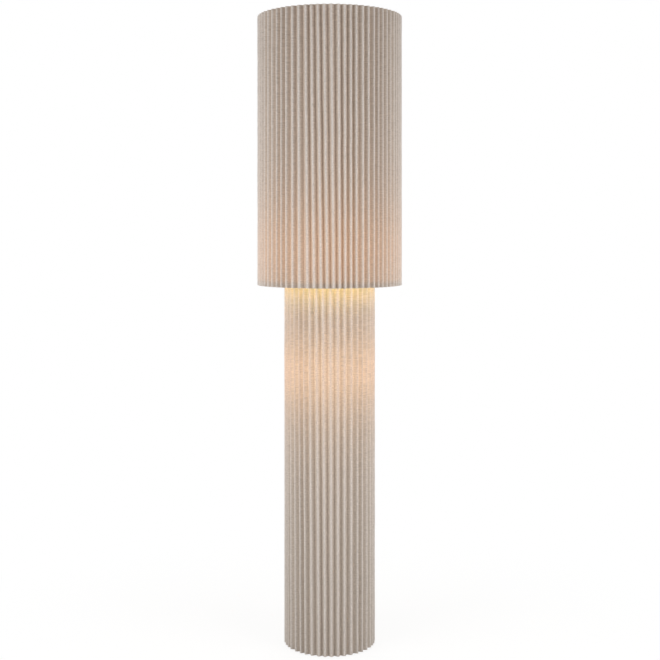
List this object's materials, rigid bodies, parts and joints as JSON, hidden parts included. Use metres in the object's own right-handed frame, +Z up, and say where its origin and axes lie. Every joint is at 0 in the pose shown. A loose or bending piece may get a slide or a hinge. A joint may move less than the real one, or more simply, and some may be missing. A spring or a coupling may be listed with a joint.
{
  "type": "floor lamp",
  "caption": "Free-standing floor lamp with a pleated linen drum shade over a pleated linen column, lit from inside at two levels, on a weighted round foot.",
  "frame": {"origin": "on the floor, on the lamp's upright axis", "axes": "+Z up, +Y towards the back where the flex enters, +X to the right seen from the front"},
  "size_m": [0.3636, 0.3636, 1.575],
  "materials": {
    "linen": "natural slubbed linen, pleated",
    "diffuser": "translucent white styrene sheet",
    "frame_steel": "white powder coat",
    "cast_weight": "black enamel",
    "felt": "pressed felt",
    "plated_steel": "zinc plated",
    "pole_steel": "satin off-white enamel",
    "brass": "satin",
    "phenolic": "moulded ivory phenolic",
    "nickel_cap": "nickel plated",
    "opal_glass": "opal",
    "nylon": "moulded",
    "rubber": "moulded",
    "lead_sleeve": "smooth sleeve"
  },
  "bodies": {
    "stand": {"column_pleats": "linen", "column_liner": "diffuser", "column_top_hoop": "frame_steel", "column_foot_band": "frame_steel", "column_struts": "frame_steel", "column_spider": "frame_steel", "switch_bracket": "frame_steel", "base_weight": "cast_weight", "base_felt": "felt", "base_nipple": "plated_steel", "base_nut": "plated_steel", "base_lock_washer": "plated_steel", "set_screws": "plated_steel", "switch_nut": "plated_steel", "lower_pole": "pole_steel", "middle_pole": "pole_steel", "riser": "pole_steel", "pole_flange": "pole_steel", "clamp_collar": "pole_steel", "shade_stud": "pole_steel", "lower_cluster": "brass", "upper_cluster": "brass", "lower_socket_cup_left": "brass", "lower_socket_cup_right": "brass", "upper_socket_cup_left": "brass", "upper_socket_cup_right": "brass", "lower_screw_shell_left": "brass", "lower_screw_shell_right": "brass", "upper_screw_shell_left": "brass", "upper_screw_shell_right": "brass", "lower_socket_shell_left": "phenolic", "lower_socket_shell_right": "phenolic", "upper_socket_shell_left": "phenolic", "upper_socket_shell_right": "phenolic", "switch_body": "phenolic", "terminal_block": "nylon", "cord_bushing": "rubber", "supply_lead": "lead_sleeve", "switch_lead": "lead_sleeve"},
    "shade_bush": {"shade_bush": "nylon"},
    "shade": {"shade_pleats": "linen", "shade_liner": "diffuser", "shade_top_hoop": "frame_steel", "shade_bottom_hoop": "frame_steel", "shade_struts": "frame_steel", "shade_spider": "frame_steel"},
    "finial_washer": {"finial_washer": "brass"},
    "finial": {"finial": "brass"},
    "switch_knob": {"switch_knob": "phenolic", "switch_shaft": "plated_steel"},
    "lower_bulb_left": {"lower_bulb_glass_left": "opal_glass", "lower_bulb_cap_left": "nickel_cap"},
    "lower_bulb_right": {"lower_bulb_glass_right": "opal_glass", "lower_bulb_cap_right": "nickel_cap"},
    "upper_bulb_left": {"upper_bulb_glass_left": "opal_glass", "upper_bulb_cap_left": "nickel_cap"},
    "upper_bulb_right": {"upper_bulb_glass_right": "opal_glass", "upper_bulb_cap_right": "nickel_cap"}
  },
  "joints": [
    {"name": "shade_turn", "type": "hinge", "parent": "stand", "child": "shade_bush", "pos_m": [0, 0, 1.54], "axis": [0, 0, 1], "continuous": true},
    {"name": "shade_lift", "type": "slide", "parent": "shade_bush", "child": "shade", "axis": [0, 0, 1], "range_m": [0, 0.02]},
    {"name": "finial_rise", "type": "slide", "parent": "shade", "child": "finial_washer", "axis": [0, 0, 1], "range_m": [0, 0.01]},
    {"name": "finial_turn", "type": "hinge", "parent": "finial_washer", "child": "finial", "pos_m": [0, 0, 1.55], "axis": [0, 0, 1], "range_deg": [0, 3636]},
    {"name": "switch_turn", "type": "hinge", "parent": "stand", "child": "switch_knob", "pos_m": [0, 0.1, 0.932], "axis": [0, 1, 0], "continuous": true},
    {"name": "lower_bulb_left_turn", "type": "hinge", "parent": "stand", "child": "lower_bulb_left", "pos_m": [-0.03, 0, 0.689], "axis": [0, 0, 1], "range_deg": [0, 1080]},
    {"name": "lower_bulb_right_turn", "type": "hinge", "parent": "stand", "child": "lower_bulb_right", "pos_m": [0.03, 0, 0.689], "axis": [0, 0, 1], "range_deg": [0, 1080]},
    {"name": "upper_bulb_left_turn", "type": "hinge", "parent": "stand", "child": "upper_bulb_left", "pos_m": [-0.03, 0, 0.967], "axis": [0, 0, 1], "range_deg": [0, 1080]},
    {"name": "upper_bulb_right_turn", "type": "hinge", "parent": "stand", "child": "upper_bulb_right", "pos_m": [0.03, 0, 0.967], "axis": [0, 0, 1], "range_deg": [0, 1080]}
  ],
  "couplings": [
    {"joint": "finial_turn", "follows": "finial_rise", "rad_per_m": 6283.2}
  ]
}
